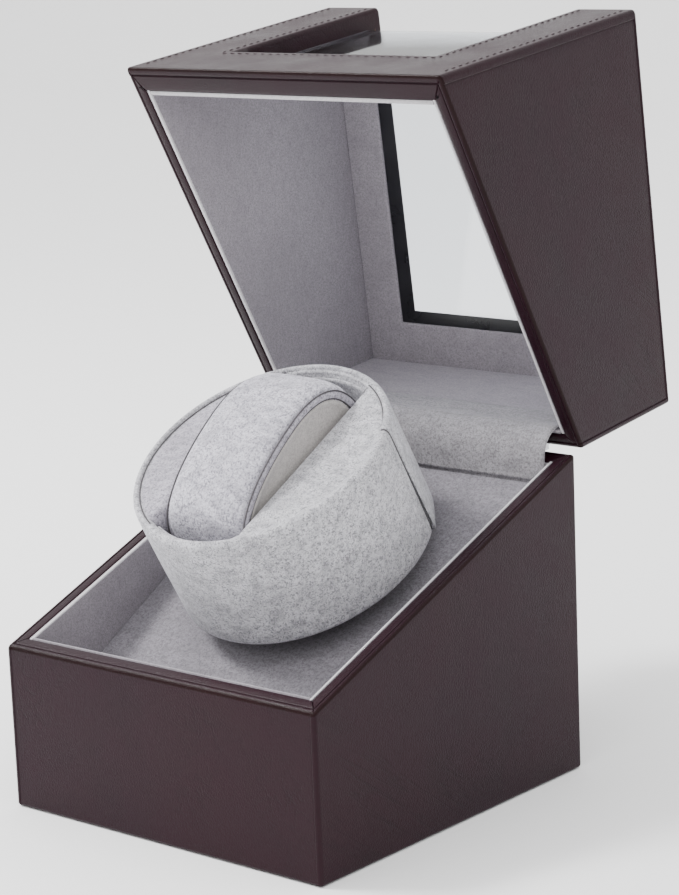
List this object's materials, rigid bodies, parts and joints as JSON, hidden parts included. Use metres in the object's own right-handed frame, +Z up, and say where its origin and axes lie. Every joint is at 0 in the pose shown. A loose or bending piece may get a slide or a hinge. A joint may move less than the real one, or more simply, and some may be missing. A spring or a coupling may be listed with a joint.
{
  "type": "watch winder box",
  "caption": "Wedge-cut leather box with a hinged, windowed lid and a tilted motor-driven cup that holds a watch on a pillow.",
  "frame": {"origin": "centre of the flat bottom face that the box stands on", "axes": "+Z up, -Y towards the front, +X to the right as seen from the front"},
  "size_m": [0.13, 0.1872, 0.244],
  "materials": {
    "board": "plain fibreboard",
    "leather": "glossy plum-brown, fine grain",
    "felt": "matt felt",
    "lining_suede": "short-nap grey suede",
    "cup_suede": "mottled light grey suede",
    "pad_foam": "suede-covered foam",
    "black_plastic": "fine-textured moulding",
    "gear_plastic": "natural acetal",
    "steel": "nickel-plated",
    "brass": "turned",
    "circuit": "solder mask",
    "led_lens": "clear moulding",
    "lead_sheath": "vinyl sheath",
    "clear_acrylic": "polished",
    "border_black": "printed border"
  },
  "bodies": {
    "base": {"base_front_board": "board", "base_back_board": "board", "base_side_boards": "board", "base_bottom_board": "board", "base_leather": "leather", "bottom_felt": "felt", "base_front_liner": "lining_suede", "base_back_liner": "lining_suede", "base_side_liners": "lining_suede", "deck_board": "board", "deck_suede": "lining_suede", "deck_cleats": "board", "gearbox_case": "black_plastic", "gearbox_cover": "black_plastic", "gearbox_screws": "steel", "motor_gearhead": "brass", "motor_can": "steel", "idler_axle": "steel", "shaft_bushes": "brass", "control_plate": "black_plastic", "circuit_board": "circuit", "dc_socket": "black_plastic", "mode_switch": "steel", "status_led": "led_lens", "battery_tray": "black_plastic", "battery_contacts": "steel", "internal_leads": "lead_sheath", "base_hinge_leaves": "steel", "hinge_pins": "steel", "base_hinge_screws": "steel"},
    "lid": {"lid_hinge_leaves": "steel", "lid_hinge_screws": "steel", "hinge_cloth": "lining_suede", "lid_side_boards": "board", "lid_front_board": "board", "lid_top_board": "board", "lid_back_board": "board", "lid_leather": "leather", "lid_side_liners": "lining_suede", "lid_front_liner": "lining_suede", "lid_top_liner": "lining_suede", "lid_back_liner": "lining_suede", "window_pane": "clear_acrylic", "window_border": "border_black"},
    "cup": {"output_gear": "gear_plastic", "output_shaft": "steel", "turntable_hub": "black_plastic", "hub_screws": "steel", "cup_shell": "board", "cup_cover": "cup_suede", "left_pad": "pad_foam", "right_pad": "pad_foam"},
    "pillow": {"pillow": "pad_foam"},
    "idler": {"idler_gear": "gear_plastic"},
    "pinion": {"motor_shaft": "steel", "motor_pinion": "gear_plastic"},
    "knob": {"switch_shaft": "steel", "mode_knob": "black_plastic"},
    "battery_door": {"battery_door": "black_plastic"}
  },
  "joints": [
    {"name": "lid_hinge", "type": "hinge", "parent": "base", "child": "lid", "pos_m": [0, 0.0682, 0.1043], "axis": [-1, 0, 0], "range_deg": [-83, 0]},
    {"name": "cup_spin", "type": "hinge", "parent": "base", "child": "cup", "pos_m": [0, 0.013, 0.06941], "axis": [0, -0.5, 0.866], "continuous": true},
    {"name": "idler_spin", "type": "hinge", "parent": "base", "child": "idler", "pos_m": [-0.024, 0.013, 0.06941], "axis": [0, -0.5, 0.866], "continuous": true},
    {"name": "pinion_spin", "type": "hinge", "parent": "base", "child": "pinion", "pos_m": [-0.024, -0.00363, 0.05981], "axis": [0, -0.5, 0.866], "continuous": true},
    {"name": "pillow_lift", "type": "slide", "parent": "cup", "child": "pillow", "axis": [0, -0.5, 0.866], "range_m": [0, 0.055]},
    {"name": "mode_knob_turn", "type": "hinge", "parent": "base", "child": "knob", "pos_m": [0.039, 0.0672, 0.029], "axis": [0, 1, 0], "range_deg": [0, 90]},
    {"name": "battery_door_swing", "type": "hinge", "parent": "base", "child": "battery_door", "pos_m": [-0.022, 0.0662, 0.0139], "axis": [-1, 0, 0], "range_deg": [0, 90]}
  ],
  "couplings": [
    {"joint": "idler_spin", "follows": "cup_spin", "ratio": -4},
    {"joint": "pinion_spin", "follows": "cup_spin", "ratio": 12}
  ]
}
